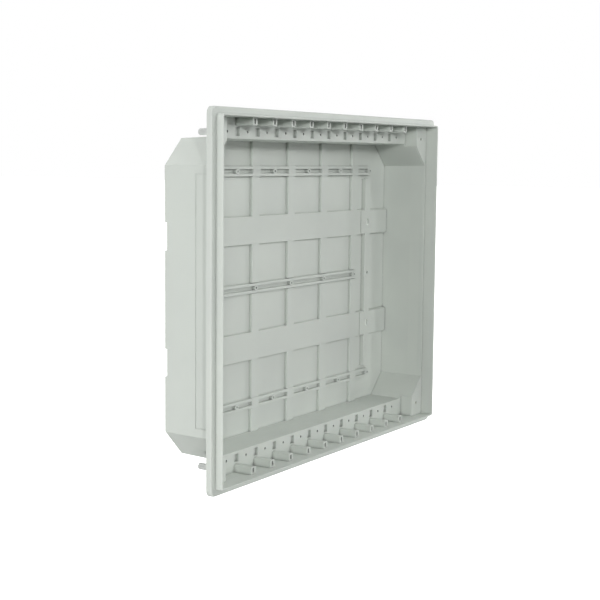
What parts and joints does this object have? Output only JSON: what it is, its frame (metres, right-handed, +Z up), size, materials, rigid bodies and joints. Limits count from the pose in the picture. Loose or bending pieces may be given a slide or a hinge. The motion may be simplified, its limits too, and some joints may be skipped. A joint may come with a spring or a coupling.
{
  "type": "flush-mounting distribution board body",
  "caption": "Empty flush-mounting distribution board body: octagonal tub, panelled back wall with rail seats, bossed ledges, and a flange with a forward collar.",
  "frame": {"origin": "centre of the flange's back plane, where the flange meets the wall face", "axes": "+Z up, +Y into the wall, the open front towards -Y, +X to the right seen from the front"},
  "size_m": [0.566, 0.0877, 0.45],
  "materials": {
    "tub_plastic": "fine moulded matte",
    "frame_plastic": "fine moulded matte",
    "strip_plastic": "fine moulded matte",
    "rail_plastic": "fine moulded matte",
    "plate_plastic": "fine moulded matte",
    "sleeve_plastic": "fine moulded matte",
    "blank_plastic": "fine moulded matte",
    "insert_brass": "turned",
    "screw_steel": "zinc plated"
  },
  "bodies": {
    "root": {"rear_tub": "tub_plastic", "front_frame": "frame_plastic", "upper_boss_strip": "strip_plastic", "lower_boss_strip": "strip_plastic", "upper_rail_seat": "rail_plastic", "middle_rail_seat": "rail_plastic", "lower_rail_seat": "rail_plastic", "fixing_plate_upper_left": "plate_plastic", "fixing_plate_upper_right": "plate_plastic", "fixing_plate_lower_left": "plate_plastic", "fixing_plate_lower_right": "plate_plastic", "corner_sleeve_upper_left": "sleeve_plastic", "corner_sleeve_upper_right": "sleeve_plastic", "corner_sleeve_lower_left": "sleeve_plastic", "corner_sleeve_lower_right": "sleeve_plastic", "corner_insert_upper_left": "insert_brass", "corner_insert_upper_right": "insert_brass", "corner_insert_lower_left": "insert_brass", "corner_insert_lower_right": "insert_brass", "left_entry_blank": "blank_plastic", "right_entry_blank": "blank_plastic", "frame_screws": "screw_steel"}
  },
  "joints": []
}
